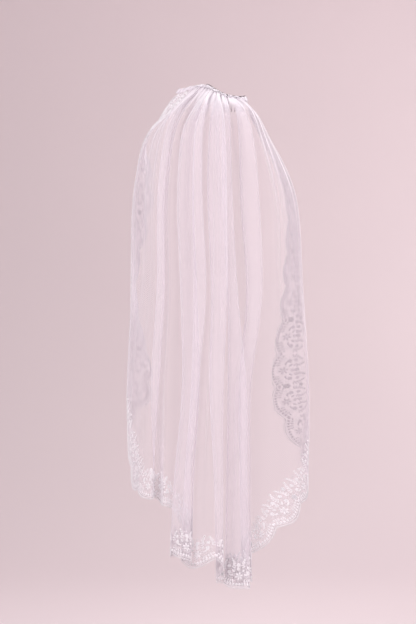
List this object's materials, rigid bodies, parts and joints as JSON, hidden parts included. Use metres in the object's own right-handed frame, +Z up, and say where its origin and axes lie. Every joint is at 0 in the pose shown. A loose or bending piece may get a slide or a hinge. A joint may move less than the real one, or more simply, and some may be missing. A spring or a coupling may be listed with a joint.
{
  "type": "lace veil",
  "caption": "Fingertip-length tulle veil with a scalloped, pierced lace border, gathered onto a comb at the neck and falling over one shoulder in deep folds.",
  "frame": {"origin": "seat side of the comb at its middle, where the veil is pinned at the side of the neck", "axes": "+X to the wearer's front, +Z up, -Y straight out from the shoulder that the veil falls over, which is the side that is seen"},
  "size_m": [0.346, 0.1702, 0.9442],
  "materials": {
    "tulle": "fine net, sheer, dull",
    "lace": "corded and beaded lace, soft sheen",
    "heading": "gathered net, stitched, dull",
    "comb_metal": "dark metal, satin"
  },
  "bodies": {
    "root": {"tulle_drape": "tulle", "lace_back_edge": "lace", "lace_back_hem": "lace", "lace_centre_hem": "lace", "lace_front_hem": "lace", "lace_front_edge": "lace", "gathered_heading": "heading", "comb": "comb_metal"}
  },
  "joints": []
}
